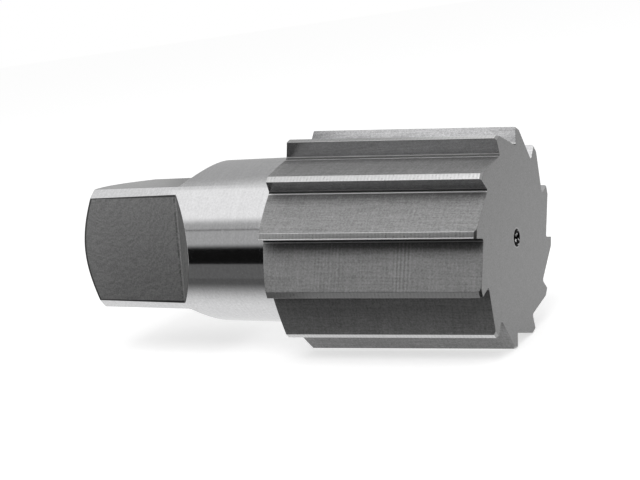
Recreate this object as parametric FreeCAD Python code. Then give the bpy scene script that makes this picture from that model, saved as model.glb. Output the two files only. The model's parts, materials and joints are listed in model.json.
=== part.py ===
import FreeCAD, Part
import math
import os

# Taper pipe reamer, straight fluted, lying on two of its teeth as it would on a bench.
# Lengths are millimetres and angles are degrees.
# Stations are measured along the axis from the small end face towards the tail.

# Fluted head, the 1 1/2 inch size of the 1:16 pipe taper
taper_on_diameter = 1.0 / 16.0
small_end_diameter = 42.77
head_length = 44.45
tooth_count = 12
land_width = 1.3
flute_depth = 3.64
root_fillet_radius = 0.5
tip_chamfer = 0.45
head_bevel = 18.0

# Plain shank and drive square
shank_diameter = 34.93
plain_shank_length = 25.3
square_length = 26.1
square_across_flats = 26.2
square_corner_end_diameter = 34.6
square_turn = 7.5
runout_angle = 42.0
runout_fillet_radius = 1.0
tail_chamfer_angle = 34.0
tail_face_diameter = 25.0

# Centre holes, one in each end
centre_mouth_diameter = 3.5
centre_cone_angle = 60.0
centre_pilot_diameter = 1.6
centre_pilot_depth = 4.0
drill_point_angle = 118.0

# Reach of the cutting bodies past the metal that they remove
overshoot = 2.0

# Sizes that follow from the ones above
small_end_radius = small_end_diameter / 2.0
radius_growth = taper_on_diameter / 2.0
large_end_radius = small_end_radius + radius_growth * head_length
shank_radius = shank_diameter / 2.0
square_half = square_across_flats / 2.0
corner_end_radius = square_corner_end_diameter / 2.0
tail_face_radius = tail_face_diameter / 2.0
bevel_rise = math.tan(math.radians(head_bevel))
tail_rise = math.tan(math.radians(tail_chamfer_angle))
overall_length = head_length + plain_shank_length + square_length
head_foot_station = head_length + (large_end_radius - shank_radius) * bevel_rise
flat_start = overall_length - square_length
tail_chamfer_station = overall_length - (corner_end_radius - tail_face_radius) * tail_rise
root_radius = small_end_radius - flute_depth
tooth_pitch = 360.0 / tooth_count
land_angle = math.degrees(land_width / small_end_radius)
gap_angle = tooth_pitch - land_angle
rest_face_angle = -90.0 - gap_angle / 2.0
rest_half_gap = math.radians(gap_angle / 2.0)
rest_tilt = math.degrees(math.atan(radius_growth * math.cos(rest_half_gap)))


def tooth_radius(station):
    """Radius of the lands at a station along the head."""
    return small_end_radius + radius_growth * station


def at(station, radius, angle=0.0):
    """Point at a station, a radius and an angle that runs from +Y towards +Z."""
    turn = math.radians(angle)
    return FreeCAD.Vector(-station, radius * math.cos(turn), radius * math.sin(turn))


def turned(points):
    """Solid of revolution about the axis from a closed half section."""
    section = Part.makePolygon(points + [points[0]])
    face = Part.Face(section)
    return face.revolve(FreeCAD.Vector(0, 0, 0), FreeCAD.Vector(1, 0, 0), 360)


# Turned blank: chamfered small end, tapered head, bevelled shoulder and plain shank,
# then the round that the square's corners keep, eased a little towards the tail
blank = turned([
    at(0, 0),
    at(0, tooth_radius(tip_chamfer) - tip_chamfer),
    at(tip_chamfer, tooth_radius(tip_chamfer)),
    at(head_length, large_end_radius),
    at(head_foot_station, shank_radius),
    at(flat_start, shank_radius),
    at(tail_chamfer_station, corner_end_radius),
    at(overall_length, tail_face_radius),
    at(overall_length, 0),
])


def flute_section(station):
    """Outline of one flute: radial cutting face, rounded root and the straight back ahead."""
    growth = tooth_radius(station) / small_end_radius
    root = at(station, root_radius * growth)
    heel = at(station, small_end_radius * growth, gap_angle)
    face_way = FreeCAD.Vector(0, 1, 0)
    back_way = (heel - root).normalize()
    half = back_way.getAngle(face_way) / 2.0
    fillet = root_fillet_radius * growth
    setback = fillet / math.tan(half)
    middle_way = (face_way + back_way).normalize()
    middle = root + middle_way * (fillet / math.sin(half) - fillet)
    face_foot = root + face_way * setback
    back_foot = root + back_way * setback
    reach = 1.5 * root.distanceToPoint(heel)
    face_top = root + face_way * reach
    back_top = root + back_way * reach
    return Part.Wire([
        Part.makeLine(face_top, face_foot),
        Part.Arc(face_foot, middle, back_foot).toShape(),
        Part.makeLine(back_foot, back_top),
        Part.makeLine(back_top, face_top),
    ])


# Flutes: every wall points at the apex of the taper, so lands and gaps narrow together
flute = Part.makeLoft([
    flute_section(-overshoot),
    flute_section(head_foot_station + overshoot),
], True, True)
flutes = []
for index in range(tooth_count):
    cutter = flute.copy()
    cutter.rotate(
        FreeCAD.Vector(0, 0, 0),
        FreeCAD.Vector(1, 0, 0),
        rest_face_angle + tooth_pitch * index,
    )
    flutes.append(cutter)
fluted = blank.cut(flutes)

# Drive square: four flats with a sloping run-out, and narrow rounds left on the corners
flat_top = shank_radius + overshoot
flat_end = overall_length + overshoot
runout = flat_start - (flat_top - square_half) / math.tan(math.radians(runout_angle))
flat_corners = [
    at(flat_end, square_half),
    at(flat_start, square_half),
    at(runout, flat_top),
    at(flat_end, flat_top),
]
flat_section = Part.Face(Part.makePolygon(flat_corners + [flat_corners[0]]))
flat_width = 2.0 * flat_top
flat_block = flat_section.extrude(FreeCAD.Vector(0, 0, flat_width))
flat_block.translate(FreeCAD.Vector(0, 0, -flat_width / 2.0))
runout_edges = []
for edge in flat_block.Edges:
    middle = edge.CenterOfMass
    on_corner = middle.distanceToPoint(flat_corners[1]) < 0.01
    if on_corner:
        runout_edges.append(edge)
flat_cutter = flat_block.makeFillet(runout_fillet_radius, runout_edges)
square_cutters = []
for index in range(4):
    cutter = flat_cutter.copy()
    cutter.rotate(
        FreeCAD.Vector(0, 0, 0),
        FreeCAD.Vector(1, 0, 0),
        rest_face_angle + square_turn + 90.0 * index,
    )
    square_cutters.append(cutter)
squared = fluted.cut(square_cutters)

# Centre holes: a countersink and a pilot hole with a drill point
mouth_radius = centre_mouth_diameter / 2.0
pilot_radius = centre_pilot_diameter / 2.0
cone_depth = (mouth_radius - pilot_radius) / math.tan(math.radians(centre_cone_angle / 2.0))
point_depth = pilot_radius / math.tan(math.radians(drill_point_angle / 2.0))
front_centre = turned([
    at(0, 0),
    at(0, mouth_radius),
    at(cone_depth, pilot_radius),
    at(centre_pilot_depth, pilot_radius),
    at(centre_pilot_depth + point_depth, 0),
])
tail_centre = turned([
    at(overall_length, 0),
    at(overall_length, mouth_radius),
    at(overall_length - cone_depth, pilot_radius),
    at(overall_length - centre_pilot_depth, pilot_radius),
    at(overall_length - centre_pilot_depth - point_depth, 0),
])
reamer = squared.cut([front_centre, tail_centre])

# Rest: the head lies on its taper, small end forward along +X, and the origin is
# under the middle of the part on the surface that it lies on
reamer.rotate(FreeCAD.Vector(0, 0, 0), FreeCAD.Vector(0, 1, 0), rest_tilt)
box = reamer.optimalBoundingBox(True, False)
reamer.translate(FreeCAD.Vector(-box.Center.x, -box.Center.y, -box.ZMin))

os.makedirs("parts", exist_ok=True)
reamer.exportStep("parts/reamer.step")
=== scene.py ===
import json
import math

import bmesh
import bpy
from bpy.props import FloatProperty, FloatVectorProperty, IntProperty, PointerProperty
from mathutils import Matrix, Vector


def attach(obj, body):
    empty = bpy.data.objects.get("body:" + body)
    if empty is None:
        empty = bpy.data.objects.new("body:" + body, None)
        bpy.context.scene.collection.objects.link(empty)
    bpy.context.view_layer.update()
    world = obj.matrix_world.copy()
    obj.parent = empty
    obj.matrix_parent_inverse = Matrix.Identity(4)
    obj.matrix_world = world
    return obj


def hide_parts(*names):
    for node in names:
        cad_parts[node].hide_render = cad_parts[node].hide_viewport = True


bl_info = {
    "name": "Taper pipe reamer",
    "version": (1, 0, 0),
    "blender": (4, 5, 0),
    "location": "3D View > Sidebar > Reamer",
    "description": "Builds a straight fluted taper pipe reamer and the small studio that it lies in",
    "category": "Add Mesh",
}

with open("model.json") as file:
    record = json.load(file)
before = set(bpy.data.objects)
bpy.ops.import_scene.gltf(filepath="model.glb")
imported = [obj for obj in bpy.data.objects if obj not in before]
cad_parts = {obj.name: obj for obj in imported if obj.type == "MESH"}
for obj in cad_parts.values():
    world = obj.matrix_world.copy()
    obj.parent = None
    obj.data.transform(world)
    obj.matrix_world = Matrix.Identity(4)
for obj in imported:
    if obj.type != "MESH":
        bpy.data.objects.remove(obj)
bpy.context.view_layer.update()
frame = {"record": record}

MM = 0.001
MOUNTS = {mount["name"]: mount for mount in frame["record"]["mounts"]}
SMALL_END = Vector(MOUNTS["front_centre"]["pos_m"])
TAIL_END = Vector(MOUNTS["tail_centre"]["pos_m"])
OVERALL_LENGTH = (TAIL_END - SMALL_END).length


# Kinds of property, with their values in millimetres, degrees and sRGB

def length(name, description, millimetres):
    """Length property"""
    return FloatProperty(
        name=name,
        description=description,
        default=millimetres * MM,
        unit="LENGTH",
    )


def angle(name, description, degrees):
    """Angle property"""
    return FloatProperty(
        name=name,
        description=description,
        default=math.radians(degrees),
        subtype="ANGLE",
    )


def hex_colour(text):
    """Linear colour of an sRGB hex value such as d8d8da"""
    channels = []
    for start in (0, 2, 4):
        value = int(text[start:start + 2], 16) / 255.0
        linear = value / 12.92 if value <= 0.04045 else ((value + 0.055) / 1.055) ** 2.4
        channels.append(linear)
    return (*channels, 1.0)


def colour(name, description, text):
    """Colour property"""
    return FloatVectorProperty(
        name=name,
        description=description,
        subtype="COLOR",
        size=4,
        default=hex_colour(text),
        min=0.0,
        max=1.0,
    )


# Sizes and colours that a user would change

class ReamerSizes(bpy.types.PropertyGroup):
    """Sizes of the reamer, the same as the solid's"""

    taper: FloatProperty(
        name="Taper",
        description="Growth of the diameter for each unit of length",
        default=1.0 / 16.0,
    )
    small_end_diameter: length(
        "Small end", "Diameter over the teeth at the small end face", 42.77
    )
    head_length: length(
        "Head", "Length of the fluted head", 44.45
    )
    teeth: IntProperty(
        name="Teeth",
        description="Number of teeth",
        default=12,
        min=3,
    )
    land_width: length(
        "Land", "Width of the round land on top of each tooth at the small end", 1.3
    )
    flute_depth: length(
        "Flute depth", "Depth of the flutes below the lands at the small end", 3.64
    )
    root_fillet: length(
        "Root fillet", "Fillet radius at the bottom of the flutes", 0.5
    )
    tip_chamfer: length(
        "Tip chamfer", "Chamfer on the front of each tooth", 0.45
    )
    head_bevel: angle(
        "Head bevel", "Slope of the head's back end from square", 18.0
    )
    shank_diameter: length(
        "Shank", "Diameter of the plain shank", 34.93
    )
    square_length: length(
        "Square length", "Length of the drive square", 26.1
    )
    square_across_flats: length(
        "Across flats", "Width of the drive square over two flats", 26.2
    )
    square_corner_end: length(
        "Corner round", "Diameter over the square's round corners at the tail", 34.6
    )
    square_turn: angle(
        "Square turn", "Turn of the square against the nearest cutting face", 7.5
    )
    runout_angle: angle(
        "Run-out", "Slope where the flats run out into the shank", 42.0
    )
    runout_fillet: length(
        "Run-out fillet", "Fillet radius at the foot of the run-out", 1.0
    )
    tail_chamfer: angle(
        "Tail chamfer", "Slope of the tail's chamfer from square", 34.0
    )
    tail_face: length(
        "Tail face", "Diameter of the flat tail face", 25.0
    )
    centre_mouth: length(
        "Centre mouth", "Diameter of the centre holes at the end faces", 3.5
    )
    centre_pilot: length(
        "Centre pilot", "Diameter of the pilot holes under the 60 degree countersinks", 1.6
    )
    centre_depth: length(
        "Centre depth", "Depth of the pilot holes before their drill point", 4.0
    )
    edge_round: length(
        "Edge round", "Tiny round that stoning leaves on the sharp edges", 0.08
    )


class ReamerFinish(bpy.types.PropertyGroup):
    """Colours that the steel's finishes reflect"""

    shank: colour("Shank", "Polished shank", "dfdfe0")
    land: colour("Lands", "Ground lands on top of the teeth", "d0d0d1")
    cutting_face: colour("Cutting faces", "Ground fronts of the teeth", "a3a3a4")
    milled: colour("Milled steel", "Backs of the flutes, and the turned bevels", "8f8f8f")
    flat: colour("Square's flats", "Milled flats of the drive square", "989898")
    end_face: colour("End faces", "Satin end faces", "767676")
    # Painted shade and glints: the holes' steel is painted nearly black, with bright flecks as glints
    hole: colour("Centre holes", "Swarf in the centre holes, whose steel is nearly black", "8a8a8a")
    # Painted highlight: two thin pale lines along each flute's root
    root_highlight_line: colour("Root lines", "Rubbed steel along both sides of each flute's root", "c4c4c4")
    # Painted shade: a thin dark line in the bottom of each flute's root
    root_hollow_shade: colour("Root hollows", "Darkened steel in the bottom of each flute's root", "505050")


# Geometry in the tool's own frame: the small end face at the origin, the tail towards -X

AXIS_POINT = (0.0, 0.0, 0.0)
AXIS = (1.0, 0.0, 0.0)
NO_SHIFT = (0.0, 0.0, 0.0)
FULL_TURN = 2.0 * math.pi
# Distance under which two places count as one
TINY = 0.001 * MM
# Reach of the cutters past the metal that they remove
OVERSHOOT = 2.0 * MM
BLANK_FACETS = 240
HOLE_FACETS = 48
ROOT_SEGMENTS = 4
RUNOUT_SEGMENTS = 6
EDGE_SEGMENTS = 2
ROUND_PROFILE = 0.5
# Length of the flute cutters' sides as a share of the distance from root to heel
CUTTER_REACH = 1.5
# The root edges grow with the taper, and stay this near to the root's radius at the small end
ROOT_SLACK = 1.5 * MM
FLATS = 4
CENTRE_ANGLE = math.radians(60.0)
DRILL_POINT_ANGLE = math.radians(118.0)
# Edges sharper than this are stoned
SHARP_ANGLE = math.radians(20.0)
FLAT_MAP = "flat_plane"
SLOTS = (
    "ground_land",
    "ground_face",
    "milled_back",
    "satin_end",
    "polished_shank",
    "milled_flat",
    "turned_chamfer",
    "drilled_centre",
    # Painted highlight lines along each flute's root
    "root_highlight_line",
    # Painted shade in the bottom of each flute's root
    "root_hollow_shade",
)


def tool_matrix():
    """Places the tool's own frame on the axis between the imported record's two centre holes"""
    forward = (SMALL_END - TAIL_END).normalized()
    side = Vector((0.0, 1.0, 0.0))
    up = forward.cross(side).normalized()
    turn = Matrix((forward, side, up)).transposed().to_4x4()
    return Matrix.Translation(SMALL_END) @ turn


def first_face_angle(sizes):
    """Angle of one cutting face, with the gap beside it centred straight down where the tool rests"""
    pitch = FULL_TURN / sizes.teeth
    land = 2.0 * sizes.land_width / sizes.small_end_diameter
    return -math.pi / 2.0 - (pitch - land) / 2.0


def growth(sizes, station):
    """How much larger the head is at a station than at the small end face"""
    return 1.0 + sizes.taper * station / sizes.small_end_diameter


def spin_profile(mesh, profile, start, steps):
    """Spins a half section of stations and radii about the axis into a closed round body"""
    corners = []
    for station, radius in profile:
        place = (-station, radius * math.cos(start), radius * math.sin(start))
        corners.append(mesh.verts.new(place))
    edges = []
    for first, second in zip(corners, corners[1:]):
        edges.append(mesh.edges.new((first, second)))
    bmesh.ops.spin(
        mesh,
        geom=corners + edges,
        cent=AXIS_POINT,
        axis=AXIS,
        dvec=NO_SHIFT,
        angle=FULL_TURN,
        steps=steps,
        use_merge=True,
        use_duplicate=False,
    )
    bmesh.ops.remove_doubles(mesh, verts=mesh.verts, dist=TINY)
    bmesh.ops.recalc_face_normals(mesh, faces=mesh.faces)


def repeat_about_axis(mesh, start, count):
    """Turns everything in a mesh from +Y towards +Z, then repeats it evenly about the axis"""
    bmesh.ops.rotate(
        mesh,
        verts=mesh.verts,
        cent=AXIS_POINT,
        matrix=Matrix.Rotation(start, 3, "X"),
    )
    bmesh.ops.spin(
        mesh,
        geom=mesh.verts[:] + mesh.edges[:] + mesh.faces[:],
        cent=AXIS_POINT,
        axis=AXIS,
        dvec=NO_SHIFT,
        angle=FULL_TURN / count * (count - 1),
        steps=count - 1,
        use_merge=False,
        use_duplicate=True,
    )


def extruded_outline(mesh, outline, shift):
    """Face on an outline and its copy moved by a shift, joined by walls; gives the copy's corners"""
    corners = [mesh.verts.new(place) for place in outline]
    face = mesh.faces.new(corners)
    copied = bmesh.ops.extrude_face_region(mesh, geom=[face])
    moved = [part for part in copied["geom"] if isinstance(part, bmesh.types.BMVert)]
    bmesh.ops.translate(mesh, verts=moved, vec=shift)
    return moved


def give_finish(faces, finish):
    """Gives faces one of the finishes in SLOTS"""
    for face in faces:
        face.material_index = SLOTS.index(finish)


def mesh_object(name, mesh):
    """Object with a finished bmesh, linked to the scene and at the origin"""
    data = bpy.data.meshes.new(name)
    mesh.to_mesh(data)
    mesh.free()
    made = bpy.data.objects.new(name, data)
    bpy.context.scene.collection.objects.link(made)
    return made


def turned_blank(sizes):
    """Blank off the lathe: end face, tip chamfer, tapered head, head bevel, shank, corners and tail"""
    tip_radius = growth(sizes, sizes.tip_chamfer) * sizes.small_end_diameter / 2.0
    big_radius = growth(sizes, sizes.head_length) * sizes.small_end_diameter / 2.0
    shank_radius = sizes.shank_diameter / 2.0
    corner_radius = sizes.square_corner_end / 2.0
    tail_radius = sizes.tail_face / 2.0
    bevel_foot = sizes.head_length + (big_radius - shank_radius) * math.tan(sizes.head_bevel)
    square_start = OVERALL_LENGTH - sizes.square_length
    chamfer_start = OVERALL_LENGTH - (corner_radius - tail_radius) * math.tan(sizes.tail_chamfer)
    profile = [
        (0.0, 0.0),
        (0.0, tip_radius - sizes.tip_chamfer),
        (sizes.tip_chamfer, tip_radius),
        (sizes.head_length, big_radius),
        (bevel_foot, shank_radius),
        (square_start, shank_radius),
        (chamfer_start, corner_radius),
        (OVERALL_LENGTH, tail_radius),
        (OVERALL_LENGTH, 0.0),
    ]
    # Each finish runs to its station
    finishes = [
        (TINY, "satin_end"),
        (sizes.tip_chamfer, "turned_chamfer"),
        (sizes.head_length, "ground_land"),
        (bevel_foot, "turned_chamfer"),
        (chamfer_start, "polished_shank"),
        (OVERALL_LENGTH - TINY, "turned_chamfer"),
        (OVERALL_LENGTH + TINY, "satin_end"),
    ]
    mesh = bmesh.new()
    half_facet = FULL_TURN / BLANK_FACETS / 2.0
    spin_profile(mesh, profile, first_face_angle(sizes) + half_facet, BLANK_FACETS)
    for face in mesh.faces:
        station = -face.calc_center_median().x
        finish = next(finish for end, finish in finishes if station < end)
        give_finish([face], finish)
    return mesh_object("reamer_body", mesh)


def flute_cutters(sizes):
    """Wedges that cut the flutes: a radial cutting face, a rounded root and a straight back"""
    radius = sizes.small_end_diameter / 2.0
    root_radius = radius - sizes.flute_depth
    gap = FULL_TURN / sizes.teeth - sizes.land_width / radius
    start = -OVERSHOOT
    end = sizes.head_length + 2.0 * OVERSHOOT
    root = Vector((0.0, root_radius, 0.0))
    heel = Vector((0.0, radius * math.cos(gap), radius * math.sin(gap)))
    face_way = Vector((0.0, 1.0, 0.0))
    back_way = (heel - root).normalized()
    reach = CUTTER_REACH * (heel - root).length
    outline = []
    for corner in (root, root + face_way * reach, root + back_way * reach):
        placed = corner * growth(sizes, start)
        placed.x = -start
        outline.append(placed)
    mesh = bmesh.new()
    moved = extruded_outline(mesh, outline, (start - end, 0.0, 0.0))
    scale = growth(sizes, end) / growth(sizes, start)
    bmesh.ops.scale(mesh, verts=moved, vec=(1.0, scale, scale))
    bmesh.ops.recalc_face_normals(mesh, faces=mesh.faces)
    for face in mesh.faces:
        in_face_plane = all(abs(corner.co.z) < TINY for corner in face.verts)
        give_finish([face], "ground_face" if in_face_plane else "milled_back")
    root_edges = []
    for edge in mesh.edges:
        along = edge.verts[0].co.x != edge.verts[1].co.x
        low = all(abs(corner.co.y - root_radius) < ROOT_SLACK for corner in edge.verts)
        level = all(abs(corner.co.z) < TINY for corner in edge.verts)
        if along and low and level:
            root_edges.append(edge)
    half = back_way.angle(face_way) / 2.0
    # The fillet's faces first take the painted shade finish of the root's bottom
    rounded = bmesh.ops.bevel(
        mesh,
        geom=root_edges,
        offset=sizes.root_fillet / math.tan(half),
        offset_type="OFFSET",
        segments=ROOT_SEGMENTS,
        profile=ROUND_PROFILE,
        affect="EDGES",
        material=SLOTS.index("root_hollow_shade"),
    )
    deepest = -(face_way + back_way).normalized()
    side_of_root = (math.pi / 2.0 - half) / 2.0
    # The fillet's side faces take the painted highlight lines
    for face in rounded["faces"]:
        face.normal_update()
        if face.normal.angle(deepest) > side_of_root:
            give_finish([face], "root_highlight_line")
    repeat_about_axis(mesh, first_face_angle(sizes), sizes.teeth)
    return mesh_object("flute_cutters", mesh)


def square_cutters(sizes):
    """Blocks that mill the four flats, each with a sloping run-out and a rounded foot"""
    top = sizes.shank_diameter / 2.0 + OVERSHOOT
    flat = sizes.square_across_flats / 2.0
    start = OVERALL_LENGTH - sizes.square_length
    end = OVERALL_LENGTH + OVERSHOOT
    runout = start - (top - flat) / math.tan(sizes.runout_angle)
    outline = [
        (-end, flat, -top),
        (-start, flat, -top),
        (-runout, top, -top),
        (-end, top, -top),
    ]
    mesh = bmesh.new()
    extruded_outline(mesh, outline, (0.0, 0.0, 2.0 * top))
    bmesh.ops.recalc_face_normals(mesh, faces=mesh.faces)
    foot = []
    for edge in mesh.edges:
        at_foot = all(
            abs(corner.co.x + start) < TINY and abs(corner.co.y - flat) < TINY
            for corner in edge.verts
        )
        if at_foot:
            foot.append(edge)
    bmesh.ops.bevel(
        mesh,
        geom=foot,
        offset=sizes.runout_fillet * math.tan(sizes.runout_angle / 2.0),
        offset_type="OFFSET",
        segments=RUNOUT_SEGMENTS,
        profile=ROUND_PROFILE,
        affect="EDGES",
    )
    give_finish(mesh.faces, "milled_flat")
    repeat_about_axis(mesh, first_face_angle(sizes) + sizes.square_turn, FLATS)
    return mesh_object("square_cutters", mesh)


def centre_drill(name, sizes, mouth_station, inward):
    """Countersink and pilot of one centre hole, from its mouth station inwards"""
    mouth = sizes.centre_mouth / 2.0
    pilot = sizes.centre_pilot / 2.0
    cone = (mouth - pilot) / math.tan(CENTRE_ANGLE / 2.0)
    point = pilot / math.tan(DRILL_POINT_ANGLE / 2.0)
    flare = mouth + OVERSHOOT * math.tan(CENTRE_ANGLE / 2.0)
    profile = [
        (mouth_station - inward * OVERSHOOT, 0.0),
        (mouth_station - inward * OVERSHOOT, flare),
        (mouth_station + inward * cone, pilot),
        (mouth_station + inward * sizes.centre_depth, pilot),
        (mouth_station + inward * (sizes.centre_depth + point), 0.0),
    ]
    mesh = bmesh.new()
    spin_profile(mesh, profile, 0.0, HOLE_FACETS)
    give_finish(mesh.faces, "drilled_centre")
    return mesh_object(name, mesh)


def carve(body, cutters):
    """Cuts the cutters from the body for good and deletes them"""
    for cutter in cutters:
        cut = body.modifiers.new(cutter.name, "BOOLEAN")
        cut.operation = "DIFFERENCE"
        cut.solver = "EXACT"
        cut.object = cutter
    graph = bpy.context.evaluated_depsgraph_get()
    carved = bpy.data.meshes.new_from_object(body.evaluated_get(graph))
    body.modifiers.clear()
    blank = body.data
    body.data = carved
    bpy.data.meshes.remove(blank)
    for cutter in cutters:
        block = cutter.data
        bpy.data.objects.remove(cutter)
        bpy.data.meshes.remove(block)


def lay_out_flats(mesh):
    """UV map of the flats in millimetres: u along the tool, v across each flat in its own plane"""
    layer = mesh.loops.layers.uv.new(FLAT_MAP)
    flat_slot = SLOTS.index("milled_flat")
    for face in mesh.faces:
        if face.material_index != flat_slot:
            continue
        across = face.normal.cross(Vector(AXIS)).normalized()
        for loop in face.loops:
            place = loop.vert.co
            loop[layer].uv = (place.x / MM, place.dot(across) / MM)


class REAMER_OT_body(bpy.types.Operator):
    """Build the reamer: turn the blank, cut the flutes and the square, drill the centres"""

    bl_idname = "reamer.body"
    bl_label = "Reamer"

    def execute(self, context):
        sizes = context.scene.reamer_sizes
        body = turned_blank(sizes)
        cutters = [
            flute_cutters(sizes),
            square_cutters(sizes),
            centre_drill("front_centre", sizes, mouth_station=0.0, inward=1.0),
            centre_drill("tail_centre", sizes, mouth_station=OVERALL_LENGTH, inward=-1.0),
        ]
        finishes = reamer_materials(sizes, context.scene.reamer_finish)
        for piece in (body, *cutters):
            for finish in finishes:
                piece.data.materials.append(finish)
        carve(body, cutters)
        mesh = bmesh.new()
        mesh.from_mesh(body.data)
        lay_out_flats(mesh)
        bmesh.ops.transform(mesh, matrix=tool_matrix(), verts=mesh.verts)
        mesh.to_mesh(body.data)
        mesh.free()
        body.data.shade_smooth()
        body.data.set_sharp_from_angle(angle=SHARP_ANGLE)
        edges = body.modifiers.new("stoned_edges", "BEVEL")
        edges.limit_method = "ANGLE"
        edges.angle_limit = SHARP_ANGLE
        edges.width = sizes.edge_round
        edges.segments = EDGE_SEGMENTS
        edges.profile = ROUND_PROFILE
        edges.use_clamp_overlap = False
        edges.harden_normals = True
        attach(body, "root")
        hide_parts("reamer")
        return {"FINISHED"}


# Shader nodes, with lengths in millimetres

FINE_GRAIN = (0.35, 0.35, 0.35)
NOISE_ROUGHNESS = 0.6
# Share of a patch's reach inside which it is whole
PATCH_CORE = 0.55
# Sockets of a Mix node: its factor, A and B as numbers, A and B as colours, and its results
MIX_FACTOR = 0
MIX_NUMBERS = (2, 3)
MIX_COLOURS = (6, 7)
MIX_NUMBER_RESULT = 0
MIX_COLOUR_RESULT = 2


def add_node(tree, kind, settings=None, values=None, links=None):
    """One node with its settings, its own socket values and the outputs linked to its sockets"""
    node = tree.nodes.new(kind)
    for name, value in (settings or {}).items():
        setattr(node, name, value)
    for name, value in (values or {}).items():
        node.inputs[name].default_value = value
    for name, output in (links or {}).items():
        tree.links.new(output, node.inputs[name])
    return node


def new_material(name):
    """Material with an empty node tree, and the tree"""
    material = bpy.data.materials.new(name)
    material.use_nodes = True
    material.node_tree.nodes.clear()
    return material, material.node_tree


def set_output(tree, surface, kind="ShaderNodeOutputMaterial"):
    """Links a shader to the output of a material or a world"""
    add_node(tree, kind, links={"Surface": surface})


def math_node(tree, kind, operation, terms):
    """Math node of a kind over terms that are values or other nodes' outputs"""
    values = {}
    links = {}
    for place, term in enumerate(terms):
        chosen = links if isinstance(term, bpy.types.NodeSocket) else values
        chosen[place] = term
    return add_node(tree, kind, {"operation": operation}, values, links)


def number(tree, operation, *terms):
    """Number that an operation makes of values and other nodes' outputs"""
    return math_node(tree, "ShaderNodeMath", operation, terms).outputs["Value"]


def vector_result(tree, operation, *terms):
    """Outputs of an operation on vectors"""
    return math_node(tree, "ShaderNodeVectorMath", operation, terms).outputs


def carried(tree, value, old, new=(0.0, 1.0), smooth=False):
    """A value carried from an old range to a new one and held at its ends"""
    node = add_node(
        tree,
        "ShaderNodeMapRange",
        {"interpolation_type": "SMOOTHSTEP" if smooth else "LINEAR"},
        {
            "From Min": old[0],
            "From Max": old[1],
            "To Min": new[0],
            "To Max": new[1],
        },
        {"Value": value},
    )
    return node.outputs["Result"]


def split(tree, vector):
    """The X, Y and Z outputs of a vector"""
    return add_node(tree, "ShaderNodeSeparateXYZ", links={"Vector": vector}).outputs


def mapped(tree, vector, values):
    """Coordinates seen from a texture space of a location, rotation or scale"""
    node = add_node(tree, "ShaderNodeMapping", {"vector_type": "TEXTURE"}, values, {"Vector": vector})
    return node.outputs["Vector"]


def tool_coordinates(tree):
    """Object coordinates in millimetres in the tool's own frame: x along the axis from the small end"""
    matrix = tool_matrix()
    place = add_node(tree, "ShaderNodeTexCoord").outputs["Object"]
    return mapped(tree, place, {
        "Location": matrix.to_translation(),
        "Rotation": matrix.to_euler(),
        "Scale": (MM, MM, MM),
    })


def streaks(tree, source, size, detail=3.0):
    """Noise stretched to marks of a size in millimetres along x, y and z"""
    noise = add_node(
        tree,
        "ShaderNodeTexNoise",
        None,
        {"Scale": 1.0, "Detail": detail, "Roughness": NOISE_ROUGHNESS},
        {"Vector": mapped(tree, source, {"Scale": size})},
    )
    return noise.outputs["Fac"]


def patch(tree, source, centre, reach):
    """One inside a soft-edged patch about a centre, nought past its reach"""
    centred = mapped(tree, source, {"Location": centre, "Scale": reach})
    away = vector_result(tree, "LENGTH", centred)["Value"]
    return carried(tree, away, (PATCH_CORE, 1.0), (1.0, 0.0), smooth=True)


def ripple(tree, value, pitch):
    """Smooth ripple between nought and one that repeats at a pitch of the value"""
    phase = number(tree, "MULTIPLY", value, FULL_TURN / pitch)
    wave = number(tree, "SINE", phase)
    return number(tree, "MULTIPLY_ADD", wave, 0.5, 0.5)


def line_at(tree, value, place, half_width):
    """One on a thin line where a value equals a place, nought away from it"""
    return number(tree, "COMPARE", value, place, half_width)


def axis_distance(tree, source):
    """Distance from the tool's axis"""
    across = vector_result(tree, "MULTIPLY", source, (0.0, 1.0, 1.0))["Vector"]
    return vector_result(tree, "LENGTH", across)["Value"]


def edge_margin(tree, source, sizes, width):
    """One on a narrow margin of each land along its cutting edge"""
    parts = split(tree, source)
    turn = number(tree, "ARCTAN2", parts["Z"], parts["Y"])
    behind = number(tree, "SUBTRACT", first_face_angle(sizes), turn)
    folded = number(tree, "WRAP", behind, 0.0, FULL_TURN / sizes.teeth)
    return number(tree, "LESS_THAN", folded, width * MM / (sizes.small_end_diameter / 2.0))


def root_shade(tree, source, sizes, radii):
    """One beside each flute's root, fading to nought up the back between two radii at the small end"""
    shrink = -sizes.taper * MM / sizes.small_end_diameter
    grown = number(tree, "MULTIPLY_ADD", split(tree, source)["X"], shrink, 1.0)
    reduced = number(tree, "DIVIDE", axis_distance(tree, source), grown)
    return carried(tree, reduced, radii, (1.0, 0.0), smooth=True)


def flat_outline(tree, sizes, bevel_margin, corner_radius):
    """One on a thin line round each flat: inside the tail bevel, and past a radius at the corners"""
    source = tool_coordinates(tree)
    radius = axis_distance(tree, source)
    slope = 1.0 / math.tan(sizes.tail_chamfer)
    bevel_top = (sizes.tail_face / 2.0 + slope * OVERALL_LENGTH) / MM
    bevel = number(tree, "MULTIPLY_ADD", split(tree, source)["X"], slope, bevel_top)
    left = number(tree, "SUBTRACT", bevel, radius)
    by_bevel = number(tree, "LESS_THAN", left, bevel_margin)
    by_corner = number(tree, "GREATER_THAN", radius, corner_radius)
    return number(tree, "MAXIMUM", by_bevel, by_corner)


def within(tree, pattern, mask):
    """A pattern that is held at a half where its mask is nought"""
    first, second = MIX_NUMBERS
    mixed = add_node(
        tree,
        "ShaderNodeMix",
        {"data_type": "FLOAT"},
        {first: 0.5},
        {MIX_FACTOR: mask, second: pattern},
    )
    return mixed.outputs[MIX_NUMBER_RESULT]


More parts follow.
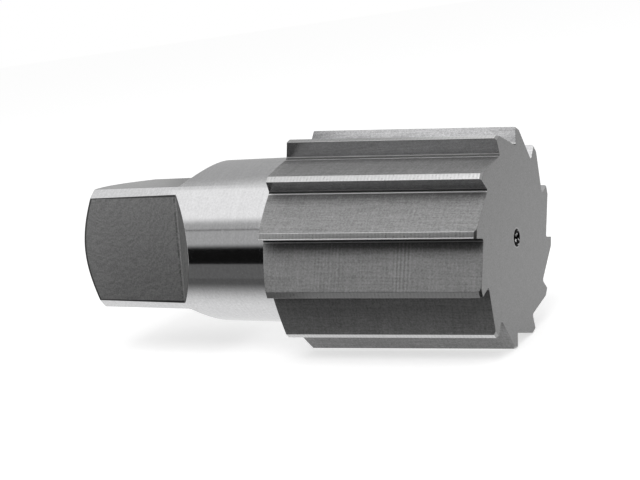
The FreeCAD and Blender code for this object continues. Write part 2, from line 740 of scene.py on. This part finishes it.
def blended(tree, swings=(), marks=()):
    """Patterns added about a half by their strengths: swings go both ways and marks one way only"""
    total = 0.5 - sum(strength * 0.5 for _, strength in swings)
    for pattern, strength in (*swings, *marks):
        total = number(tree, "MULTIPLY_ADD", pattern, strength, total)
    return total


def steel_surface(tree, steel, pattern, roughness, rough_spread, tone, relief):
    """Bare steel of a colour whose tone, roughness and relief swing with a pattern"""
    first, second = MIX_COLOURS
    shade = add_node(
        tree,
        "ShaderNodeMix",
        {"data_type": "RGBA"},
        {
            first: [channel * (1.0 - tone) for channel in steel[:3]] + [1.0],
            second: [min(1.0, channel * (1.0 + tone)) for channel in steel[:3]] + [1.0],
        },
        {MIX_FACTOR: pattern},
    )
    rough = carried(tree, pattern, (0.0, 1.0), (roughness - rough_spread, roughness + rough_spread))
    bumps = add_node(
        tree,
        "ShaderNodeBump",
        None,
        {"Strength": 1.0, "Distance": relief * MM},
        {"Height": pattern},
    )
    shader = add_node(
        tree,
        "ShaderNodeBsdfPrincipled",
        None,
        {"Metallic": 1.0},
        {
            "Base Color": shade.outputs[MIX_COLOUR_RESULT],
            "Roughness": rough,
            "Normal": bumps.outputs["Normal"],
        },
    )
    set_output(tree, shader.outputs["BSDF"])


# Finishes

def ground_land_steel(sizes, finish):
    """High speed steel ground round the tool: bright, with fine lines across each land, and a
    painted highlight on a narrow margin at the front tooth's cutting edge, which draws a thin
    bright line. Real lines are a few hundredths apart and are drawn ten times coarser, so that
    they show."""
    material, tree = new_material("ground_land_steel")
    source = tool_coordinates(tree)
    broken = streaks(tree, source, (2.5, 1.2, 1.2))
    ticks = within(tree, ripple(tree, split(tree, source)["X"], pitch=0.72), broken)
    grain = streaks(tree, source, (0.4, 0.5, 0.5))
    margin = edge_margin(tree, source, sizes, width=0.26)
    front_tooth = patch(tree, source, centre=(-22.0, -20.8, 5.2), reach=(80.0, 6.0, 6.0))
    # Painted highlight: a thin bright line along the front tooth's cutting edge only
    painted_edge_highlight = number(tree, "MULTIPLY", margin, front_tooth)
    pattern = blended(tree, swings=((ticks, 0.13), (grain, 0.25)), marks=((painted_edge_highlight, 0.5),))
    steel_surface(tree, finish.land, pattern, roughness=0.3, rough_spread=0.2, tone=0.8, relief=0.001)
    return material


def ground_face_steel(finish):
    """High speed steel ground along the flute with a cup wheel: an even, finely mottled grey"""
    material, tree = new_material("ground_face_steel")
    source = tool_coordinates(tree)
    grain = streaks(tree, source, (0.45, 0.35, 0.35))
    drag = streaks(tree, source, (5.0, 0.35, 0.35))
    pattern = blended(tree, swings=((grain, 1.2), (drag, 0.8)))
    steel_surface(
        tree, finish.cutting_face, pattern, roughness=0.24, rough_spread=0.02, tone=0.4, relief=0.0003
    )
    return material


def milled_back_steel(sizes, finish):
    """Milled and hardened steel: a duller grey with faint feed streaks along the flute and
    cutter lines across it, painted shade that darkens it towards the root, and two places on
    the front tooth where the cutter chattered"""
    material, tree = new_material("milled_back_steel")
    source = tool_coordinates(tree)
    feed = streaks(tree, source, (9.0, 0.4, 0.4))
    lines = streaks(tree, source, (0.5, 9.0, 9.0))
    grain = streaks(tree, source, FINE_GRAIN)
    chatter = ripple(tree, split(tree, source)["X"], pitch=0.75)
    near_tip = patch(tree, source, centre=(-15.6, -20.0, 0.0), reach=(2.6, 9.0, 8.0))
    mid_head = patch(tree, source, centre=(-31.5, -20.0, 0.0), reach=(4.5, 9.0, 8.0))
    # Painted shade: darker towards each flute's root, standing in for the shade in that corner
    painted_root_shade = root_shade(tree, source, sizes, radii=(17.8, 18.5))
    pattern = blended(tree, swings=(
        (feed, 0.8),
        (lines, 0.6),
        (grain, 1.6),
        (within(tree, chatter, near_tip), 0.5),
        (within(tree, chatter, mid_head), 0.22),
    ), marks=((painted_root_shade, -0.45),))
    steel_surface(tree, finish.milled, pattern, roughness=0.62, rough_spread=0.06, tone=0.4, relief=0.001)
    return material


def satin_end_steel(finish):
    """Faced and blasted steel: a flat satin grey with a fine even grain, and a thin paler ring
    about each centre hole"""
    material, tree = new_material("satin_end_steel")
    source = tool_coordinates(tree)
    grain = streaks(tree, source, FINE_GRAIN)
    cloud = streaks(tree, source, (1.6, 1.6, 1.6))
    # A thin paler ring just outside each centre hole's mouth
    pale_ring = line_at(tree, axis_distance(tree, source), place=1.9, half_width=0.15)
    pattern = blended(tree, swings=((grain, 1.4), (cloud, 0.4)), marks=((pale_ring, 0.75),))
    steel_surface(tree, finish.end_face, pattern, roughness=0.4, rough_spread=0.03, tone=0.42, relief=0.001)
    return material


def polished_shank_steel(finish):
    """Cylindrically ground and polished steel: mirror bands along the shank, broken only by
    faint rings round it and a trace of grain"""
    material, tree = new_material("polished_shank_steel")
    source = tool_coordinates(tree)
    rings = streaks(tree, source, (0.4, 40.0, 40.0))
    grain = streaks(tree, source, (0.5, 0.5, 0.5))
    pattern = blended(tree, swings=((rings, 0.45), (grain, 1.0)))
    steel_surface(tree, finish.shank, pattern, roughness=0.095, rough_spread=0.04, tone=0.18, relief=0.0005)
    return material


def milled_flat_steel(sizes, finish):
    """Face milled steel: dull grey with faint arcs that the cutter swept over each flat, and
    short dark marks where it stopped at the run-out, inside a thin darker outline along its
    edges"""
    material, tree = new_material("milled_flat_steel")
    source = add_node(tree, "ShaderNodeUVMap", {"uv_map": FLAT_MAP}).outputs["UV"]
    # Places on the map: the middle of the cutter's arcs, the run-out's foot and the stop before it
    cutter_centre = (-90.0, 14.0, 0.0)
    foot_place = -69.9
    stop_place = -70.3
    cutter_wander = 9.0
    bent = streaks(tree, source, (5.0, 5.0, 5.0))
    swing = vector_result(tree, "DISTANCE", source, cutter_centre)["Value"]
    waved = number(tree, "MULTIPLY_ADD", bent, cutter_wander, swing)
    cloud = streaks(tree, source, (3.0, 3.0, 3.0))
    arcs = within(tree, ripple(tree, waved, pitch=1.6), cloud)
    grain = streaks(tree, source, FINE_GRAIN)
    smear = streaks(tree, source, (1.2, 0.7, 1.0))
    along = split(tree, source)["X"]
    slope = number(tree, "GREATER_THAN", along, foot_place)
    stop = line_at(tree, along, stop_place, half_width=0.25)
    dashes = carried(tree, streaks(tree, source, (8.0, 1.0, 1.0), detail=2.0), (0.42, 0.55))
    stop_marks = number(tree, "MULTIPLY", stop, dashes)
    # A thin darker outline along the flat's edges at the tail bevel and the round corners
    outline = flat_outline(tree, sizes, bevel_margin=0.75, corner_radius=17.15)
    pattern = blended(
        tree,
        swings=((arcs, 0.24), (grain, 0.86), (smear, 0.28)),
        marks=((outline, -0.6), (stop_marks, -0.26), (slope, -0.26)),
    )
    steel_surface(tree, finish.flat, pattern, roughness=0.5, rough_spread=0.1, tone=0.62, relief=0.004)
    return material


def turned_steel(finish):
    """Turned steel on the small bevels: darker, with fine rings"""
    material, tree = new_material("turned_steel")
    source = tool_coordinates(tree)
    rings = streaks(tree, source, (0.4, 9.0, 9.0))
    grain = streaks(tree, source, FINE_GRAIN)
    pattern = blended(tree, swings=((rings, 0.8), (grain, 0.5)))
    steel_surface(tree, finish.milled, pattern, roughness=0.3, rough_spread=0.05, tone=0.3, relief=0.002)
    return material


def drilled_centre_steel(finish):
    """Drilled steel inside the centre holes, painted nearly black as shade, with a few painted
    glints as bright flecks
    """
    material, tree = new_material("drilled_centre_steel")
    source = tool_coordinates(tree)
    noise = streaks(tree, source, (0.55, 0.55, 0.55), detail=1.0)
    # Painted glints: a few bright flecks; elsewhere the holes stay nearly black as painted shade
    painted_glints = carried(tree, noise, (0.585, 0.615))
    steel_surface(tree, finish.hole, painted_glints, roughness=0.3, rough_spread=0.05, tone=0.95, relief=0.002)
    return material


def root_steel(name, steel):
    """Milled steel along a flute's root, with short feed streaks"""
    material, tree = new_material(name)
    feed = streaks(tree, tool_coordinates(tree), (6.0, 0.4, 0.4))
    pattern = blended(tree, swings=((feed, 1.0),))
    steel_surface(tree, steel, pattern, roughness=0.5, rough_spread=0.05, tone=0.3, relief=0.001)
    return material


def root_highlight_steel(finish):
    """Milled steel with painted highlights: two thin pale lines along each flute's root"""
    return root_steel("root_highlight_steel", finish.root_highlight_line)


def root_shade_steel(finish):
    """Milled steel in the bottom of each flute's root with painted shade: a thin dark line
    between the two pale ones"""
    return root_steel("root_shade_steel", finish.root_hollow_shade)


def reamer_materials(sizes, finish):
    """The finishes in the order of SLOTS"""
    return [
        ground_land_steel(sizes, finish),
        ground_face_steel(finish),
        milled_back_steel(sizes, finish),
        satin_end_steel(finish),
        polished_shank_steel(finish),
        milled_flat_steel(sizes, finish),
        turned_steel(finish),
        drilled_centre_steel(finish),
        root_highlight_steel(finish),
        root_shade_steel(finish),
    ]


# Studio

# Width of the sensor in millimetres
SENSOR_WIDTH = 36.0
# Clip distances and half the floor's side in metres
CLIP_NEAR = 0.01
CLIP_FAR = 20.0
FLOOR_REACH = 3.0
# Colours in sRGB, and strengths of light of which 1 is white
WHITE = "ffffff"
PAPER_GREY = "d0d0d0"
BACKDROP_LIGHT = 1.0
FILL_LIGHT = 0.6
FLOOR_LIFT = 0.6
# Point that the lamp looks at: the middle of the tool
LAMP_AIM = Vector((0.0, 0.0, 22.0)) * MM


class StudioSettings(bpy.types.PropertyGroup):
    """Camera of the small studio"""

    camera_turn: angle(
        "Camera turn", "How far the camera stands round from the front towards the small end", 29.759
    )
    camera_rise: angle(
        "Camera rise", "How far the camera looks down", 11.138
    )
    camera_roll: angle(
        "Camera roll", "How far the camera is rolled", -8.732
    )
    camera_distance: length(
        "Camera distance", "Distance from the camera to the point that it looks at", 255.408
    )
    camera_target: FloatVectorProperty(
        name="Camera target",
        description="Point in the middle of the picture",
        default=(4.490 * MM, 0.0, 21.981 * MM),
        subtype="XYZ",
        unit="LENGTH",
    )
    camera_lens: FloatProperty(
        name="Lens",
        description="Focal length in millimetres on a sensor 36 mm wide",
        default=68.457,
    )


def from_front(turn, rise):
    """Direction from the object, turned from the front (-Y) towards +X and raised"""
    return Vector((
        math.sin(turn) * math.cos(rise),
        -math.cos(turn) * math.cos(rise),
        math.sin(rise),
    ))


def photo_camera(studio):
    """Camera at the photograph's viewing angle"""
    back = from_front(studio.camera_turn, studio.camera_rise)
    level = Vector((math.cos(studio.camera_turn), math.sin(studio.camera_turn), 0.0))
    upright = back.cross(level)
    right = level * math.cos(studio.camera_roll) + upright * math.sin(studio.camera_roll)
    up = upright * math.cos(studio.camera_roll) - level * math.sin(studio.camera_roll)
    lens = bpy.data.cameras.new("camera")
    lens.sensor_fit = "HORIZONTAL"
    lens.sensor_width = SENSOR_WIDTH
    lens.lens = studio.camera_lens
    lens.clip_start = CLIP_NEAR
    lens.clip_end = CLIP_FAR
    camera = bpy.data.objects.new("camera", lens)
    place = Vector(studio.camera_target) + back * studio.camera_distance
    turn = Matrix((right, up, back)).transposed().to_4x4()
    camera.matrix_world = Matrix.Translation(place) @ turn
    bpy.context.scene.collection.objects.link(camera)
    bpy.context.scene.camera = camera


def seen_by_eye(tree):
    """One for camera, glossy and transmission rays, which show the white background"""
    path = add_node(tree, "ShaderNodeLightPath").outputs
    either = number(tree, "MAXIMUM", path["Is Camera Ray"], path["Is Glossy Ray"])
    return number(tree, "MAXIMUM", either, path["Is Transmission Ray"])


def white_light(tree, kind, strength):
    """Even white light from a node of a kind, Background or Emission"""
    values = {"Color": hex_colour(WHITE), "Strength": strength}
    return add_node(tree, "ShaderNode" + kind, None, values).outputs[kind]


def mixed_shader(tree, share, first, second):
    """Two shaders mixed by a share of the second"""
    mixed = add_node(tree, "ShaderNodeMixShader", links={0: share, 1: first, 2: second})
    return mixed.outputs["Shader"]


def studio_world():
    """World that is white to the eye and in reflections, and a soft grey fill as light"""
    world = bpy.data.worlds.new("studio")
    world.use_nodes = True
    tree = world.node_tree
    tree.nodes.clear()
    fill = white_light(tree, "Background", FILL_LIGHT)
    white = white_light(tree, "Background", BACKDROP_LIGHT)
    surface = mixed_shader(tree, seen_by_eye(tree), fill, white)
    set_output(tree, surface, "ShaderNodeOutputWorld")
    bpy.context.scene.world = world


def floor_paper():
    """White paper: a diffuse floor that keeps the shadow, lifted to white for the eye"""
    material, tree = new_material("white_paper")
    paper = add_node(tree, "ShaderNodeBsdfDiffuse", None, {"Color": hex_colour(PAPER_GREY)})
    matte = paper.outputs["BSDF"]
    lift = white_light(tree, "Emission", FLOOR_LIFT)
    lifted = add_node(tree, "ShaderNodeAddShader", links={0: matte, 1: lift}).outputs["Shader"]
    set_output(tree, mixed_shader(tree, seen_by_eye(tree), matte, lifted))
    return material


def lay_floor():
    """Floor under the tool, larger than any view of it"""
    mesh = bmesh.new()
    bmesh.ops.create_grid(mesh, x_segments=1, y_segments=1, size=FLOOR_REACH)
    made = mesh_object("floor", mesh)
    made.data.materials.append(floor_paper())


def card_material(name, level, axis, fade):
    """Even glow, a level of 1 being white, that may fade out between two places on an axis"""
    material, tree = new_material(name)
    surface = white_light(tree, "Emission", level)
    if fade is not None:
        solid, clear = fade
        place = split(tree, add_node(tree, "ShaderNodeTexCoord").outputs["Object"])[axis]
        share = carried(tree, place, (solid * MM, clear * MM), smooth=True)
        nothing = add_node(tree, "ShaderNodeBsdfTransparent").outputs["BSDF"]
        surface = mixed_shader(tree, share, surface, nothing)
    set_output(tree, surface)
    return material


# Cards in millimetres that only reflections see

def card(name, corners, level, axis="Z", fade=None):
    """Flat card on four corners"""
    mesh = bmesh.new()
    mesh.faces.new([mesh.verts.new(Vector(corner) * MM) for corner in corners])
    made = mesh_object(name, mesh)
    made.data.materials.append(card_material(name, level, axis, fade))
    made.visible_camera = False
    made.visible_diffuse = False
    made.visible_shadow = False
    made.visible_transmission = False


def lying_card(name, across, depth, lift, level, fade=None):
    """Card over the floor between two places across the picture and two in depth"""
    (left, right), (near, far) = across, depth
    card(name, [
        (left, near, lift),
        (right, near, lift),
        (right, far, lift),
        (left, far, lift),
    ], level, "Y", fade)


def standing_card(name, across, depth, heights, level, fade=None):
    """Card upright across the picture, at one place in depth and between two heights"""
    (left, right), (low, high) = across, heights
    card(name, [
        (left, depth, low),
        (right, depth, low),
        (right, depth, high),
        (left, depth, high),
    ], level, "Z", fade)


def turned_card(name, turn, distance, width, heights, level, fade=None):
    """Card upright that faces the tool from a direction in degrees"""
    way = from_front(math.radians(turn), 0.0)
    middle = way * distance
    side = Vector((way.y, -way.x, 0.0)) * (width / 2.0)
    low, high = (Vector((0.0, 0.0, height)) for height in heights)
    card(name, [
        middle - side + low,
        middle + side + low,
        middle + side + high,
        middle - side + high,
    ], level, "Z", fade)


def front_cards():
    """Cards for the side that the photograph shows"""
    # Grey aprons on the floor: the shank's lower bands and the lower flutes
    lying_card("shank_apron_far", across=(-105, -1), depth=(-80, -38), lift=0.3, level=0.128)
    lying_card(
        "shank_apron_near", across=(-105, -1), depth=(-38, -10), lift=0.3, level=0.10, fade=(-32.5, -12.5)
    )
    lying_card("under_shank", across=(-200, -1), depth=(-45, 60), lift=0.2, level=0.82)
    lying_card("head_apron_far", across=(-1, 120), depth=(-80, -47), lift=0.3, level=0.165)
    lying_card(
        "head_apron_near", across=(-1, 120), depth=(-47, -12), lift=0.3, level=0.26, fade=(-22, -15)
    )
    # Black flags: the shank's dark band, the lands that face the front and the tips' bevels
    standing_card(
        "front_flag", across=(-112, 120), depth=-80, heights=(0, 38), level=0.006, fade=(27, 38)
    )
    standing_card(
        "head_flag", across=(-22, 120), depth=-81, heights=(30, 63), level=0.10, fade=(40, 63)
    )
    card("side_flag", [(72, -48, 0), (72, -17, 0), (72, -17, 34), (72, -48, 34)], level=0.03)
    lying_card("side_flag_foot", across=(50, 100), depth=(-70, -18), lift=0.4, level=0.03)
    # Grey walls: the shank's mid bands, the upper flutes and the shank's top
    standing_card(
        "front_wall", across=(-600, 350), depth=-300, heights=(0, 350), level=0.43, fade=(230, 345)
    )
    standing_card("front_batten", across=(-600, 0), depth=-298, heights=(178, 192), level=0.2)
    turned_card(
        "far_wall", turn=-127.5, distance=350, width=410, heights=(60, 900), level=0.45, fade=(480, 900)
    )
    turned_card("far_wall_edge", turn=-94.5, distance=352, width=52, heights=(60, 900), level=0.8)
    # White reflectors: the cutting faces of the top tooth and the next, and the square's top flat
    card("tooth_reflector", [(-26, -58, 52), (30, -58, 52), (30, -52, 72), (-26, -52, 72)], level=1.7)
    lying_card("notch_reflector", across=(26, 47), depth=(5, 16), lift=47, level=2.0)
    standing_card("flat_reflector", across=(-130, -66), depth=50, heights=(30, 90), level=1.0)
    # A pale shade over the square: it greys its upper corner land
    lying_card("corner_shade", across=(-105, -60), depth=(-32, 14), lift=90, level=0.83)


def rear_cards():
    """The same bands for the side that the photograph doesn't show"""
    standing_card("rear_flag", across=(-55, 30), depth=80, heights=(0, 34), level=0.006, fade=(24, 34))
    standing_card(
        "rear_wall", across=(-300, 50), depth=300, heights=(0, 250), level=0.43, fade=(150, 250)
    )
    turned_card(
        "rear_side_wall", turn=116, distance=350, width=300, heights=(0, 250), level=0.43, fade=(150, 250)
    )
    lying_card("rear_apron", across=(-100, 30), depth=(34, 80), lift=0.3, level=0.14)


def soft_box(name, turn, rise, distance, size, power):
    """Square lamp, in metres and watts, that looks at the tool from a direction in degrees"""
    lamp = bpy.data.lights.new(name, "AREA")
    lamp.shape = "SQUARE"
    lamp.size = size
    lamp.energy = power
    made = bpy.data.objects.new(name, lamp)
    way = from_front(math.radians(turn), math.radians(rise))
    made.location = LAMP_AIM + way * distance
    made.rotation_euler = way.to_track_quat("Z", "Y").to_euler()
    bpy.context.scene.collection.objects.link(made)


class REAMER_OT_studio(bpy.types.Operator):
    """Set the camera, the floor, the cards and the soft lamp"""

    bl_idname = "reamer.studio"
    bl_label = "Studio"

    def execute(self, context):
        photo_camera(context.scene.reamer_studio)
        studio_world()
        lay_floor()
        front_cards()
        rear_cards()
        soft_box("key", turn=15.0, rise=55.0, distance=0.7, size=0.4, power=2.2)
        context.scene.view_settings.view_transform = "Standard"
        return {"FINISHED"}


class REAMER_PT_panel(bpy.types.Panel):
    """Sidebar panel with the reamer's operators and settings"""

    bl_idname = "REAMER_PT_panel"
    bl_label = "Taper pipe reamer"
    bl_space_type = "VIEW_3D"
    bl_region_type = "UI"
    bl_category = "Reamer"

    def draw(self, context):
        layout = self.layout
        for operator in (REAMER_OT_body, REAMER_OT_studio):
            layout.operator(operator.bl_idname)
        scene = context.scene
        for group in (scene.reamer_sizes, scene.reamer_finish, scene.reamer_studio):
            box = layout.box()
            for name in group.__annotations__:
                box.prop(group, name)


CLASSES = (
    ReamerSizes,
    ReamerFinish,
    StudioSettings,
    REAMER_OT_body,
    REAMER_OT_studio,
    REAMER_PT_panel,
)


def register():
    for entry in CLASSES:
        bpy.utils.register_class(entry)
    bpy.types.Scene.reamer_sizes = PointerProperty(type=ReamerSizes)
    bpy.types.Scene.reamer_finish = PointerProperty(type=ReamerFinish)
    bpy.types.Scene.reamer_studio = PointerProperty(type=StudioSettings)


def unregister():
    del bpy.types.Scene.reamer_studio
    del bpy.types.Scene.reamer_finish
    del bpy.types.Scene.reamer_sizes
    for entry in reversed(CLASSES):
        bpy.utils.unregister_class(entry)


def main():
    register()
    bpy.ops.reamer.body()
    bpy.ops.reamer.studio()


if __name__ == "__main__":
    main()
